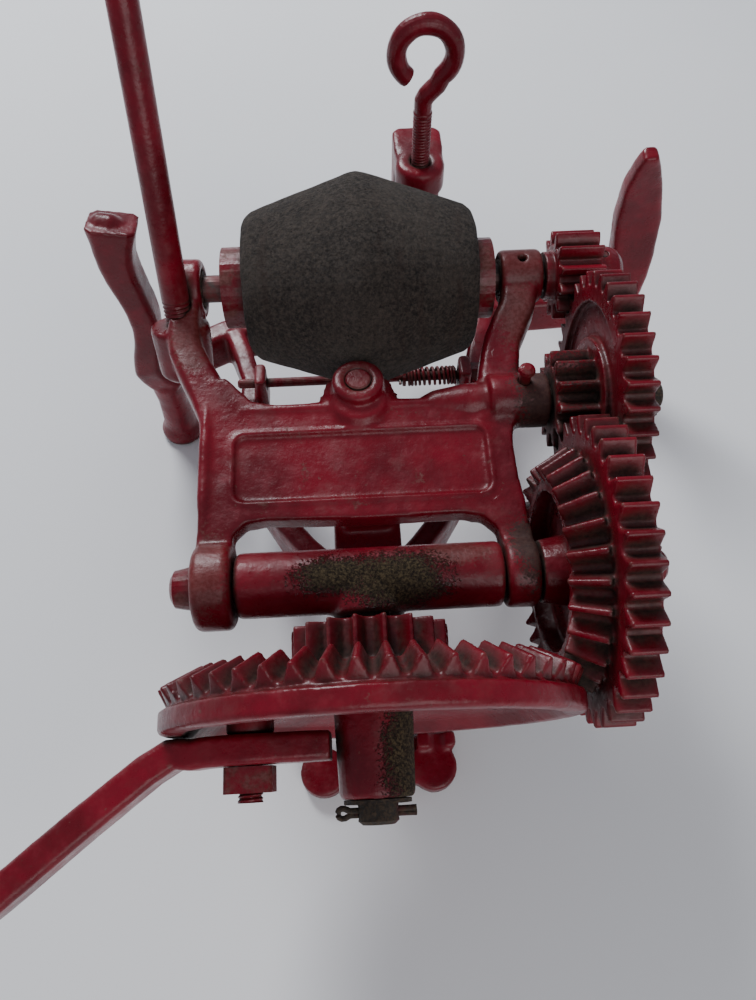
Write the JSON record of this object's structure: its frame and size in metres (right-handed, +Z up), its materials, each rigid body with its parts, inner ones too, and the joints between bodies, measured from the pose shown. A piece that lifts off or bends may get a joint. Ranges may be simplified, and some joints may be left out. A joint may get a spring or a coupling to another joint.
{
  "type": "mower knife grinder",
  "caption": "Hand-cranked bench grinder for mower knives: cast base with knife clamp, bevel-and-spur gear train, swinging head with a double-cone stone and upright lever.",
  "frame": {"origin": "on the flat underside of the base casting, straight below the axis of the hinge shaft, 5.3 mm to the right of the crank gear's axis", "axes": "+X along the hinge shaft towards the gear side, +Y away from the person at the crank, +Z up"},
  "size_m": [0.4242, 0.5146, 0.4547],
  "materials": {
    "red_paint": "old crimson paint on cast iron, worn and dusty, with dark grease in the corners",
    "bare_steel": "dull, stained steel with traces of red",
    "greasy_iron": "dark iron under old grease and chaff",
    "grindstone_grit": "gritty dark grey vitrified stone, loaded with rust-brown dust",
    "worn_wood": "turned hardwood, hand-worn"
  },
  "bodies": {
    "base": {"base_frame": "red_paint", "hinge_shaft": "bare_steel", "hinge_shaft_cotter": "bare_steel", "hinge_shaft_washer": "greasy_iron", "crank_stud": "greasy_iron", "crank_stud_cotter": "greasy_iron", "crank_washer": "greasy_iron"},
    "spring_plunger": {"spring_rod": "red_paint", "spring_seat_washer": "red_paint", "spring_seat_pin": "bare_steel", "spring_rod_nut": "red_paint", "return_spring": "red_paint"},
    "clamp_foot": {"clamp_shoe": "bare_steel"},
    "eye_screw": {"eye_bolt": "red_paint"},
    "crank": {"crank_gear": "red_paint", "crank_arm": "red_paint", "arm_bolt": "bare_steel", "arm_nut": "red_paint", "handle_pin": "bare_steel"},
    "grip": {"wood_grip": "worn_wood"},
    "compound": {"compound_gear": "red_paint"},
    "head": {"head_frame": "red_paint", "left_bearing_bush": "greasy_iron", "right_bearing_bush": "greasy_iron", "centre_pin": "red_paint", "handle_rod": "red_paint", "gear_stud": "greasy_iron", "stud_lock_pin": "red_paint", "gear_stud_cotter": "greasy_iron", "gear_stud_washer": "greasy_iron"},
    "intermediate": {"intermediate_gear": "red_paint"},
    "stone": {"grindstone": "grindstone_grit", "stone_shaft": "bare_steel", "left_flange": "red_paint", "right_flange": "red_paint", "stone_pinion": "red_paint", "pinion_cross_pin": "bare_steel"}
  },
  "joints": [
    {"name": "crank_spin", "type": "hinge", "parent": "base", "child": "crank", "pos_m": [-0.00533, 0, 0.14478], "axis": [0, -0.9816, -0.1908], "continuous": true},
    {"name": "compound_spin", "type": "hinge", "parent": "base", "child": "compound", "pos_m": [0, 0, 0.14478], "axis": [1, 0, 0], "continuous": true},
    {"name": "head_swing", "type": "hinge", "parent": "base", "child": "head", "pos_m": [0, 0, 0.14478], "axis": [1, 0, 0], "range_deg": [0, 56.84]},
    {"name": "intermediate_spin", "type": "hinge", "parent": "head", "child": "intermediate", "pos_m": [0, 0.0781, 0.15634], "axis": [1, 0, 0], "continuous": true},
    {"name": "stone_spin", "type": "hinge", "parent": "head", "child": "stone", "pos_m": [0, 0.14808, 0.16256], "axis": [1, 0, 0], "continuous": true},
    {"name": "grip_spin", "type": "hinge", "parent": "crank", "child": "grip", "pos_m": [-0.22885, -0.13396, 0.11874], "axis": [0, -0.9816, -0.1908], "continuous": true},
    {"name": "clamp_feed", "type": "slide", "parent": "base", "child": "clamp_foot", "axis": [0, 0, -1], "range_m": [0, 0.01145]},
    {"name": "eye_bolt_turn", "type": "hinge", "parent": "clamp_foot", "child": "eye_screw", "pos_m": [0.03251, 0.21514, 0.16383], "axis": [0, 0, -1], "range_deg": [0, 2600]},
    {"name": "spring_rod_slide", "type": "slide", "parent": "base", "child": "spring_plunger", "axis": [1, 0, 0], "range_m": [0, 0.008], "stiffness_N_per_m": 800, "springref_m": -0.006, "deforming": ["return_spring"]}
  ],
  "couplings": [
    {"joint": "compound_spin", "follows": "crank_spin", "ratio": -1.7857},
    {"joint": "intermediate_spin", "follows": "crank_spin", "ratio": 5.6548},
    {"joint": "stone_spin", "follows": "crank_spin", "ratio": -16.493},
    {"joint": "eye_bolt_turn", "follows": "clamp_feed", "rad_per_m": 3957.9}
  ]
}
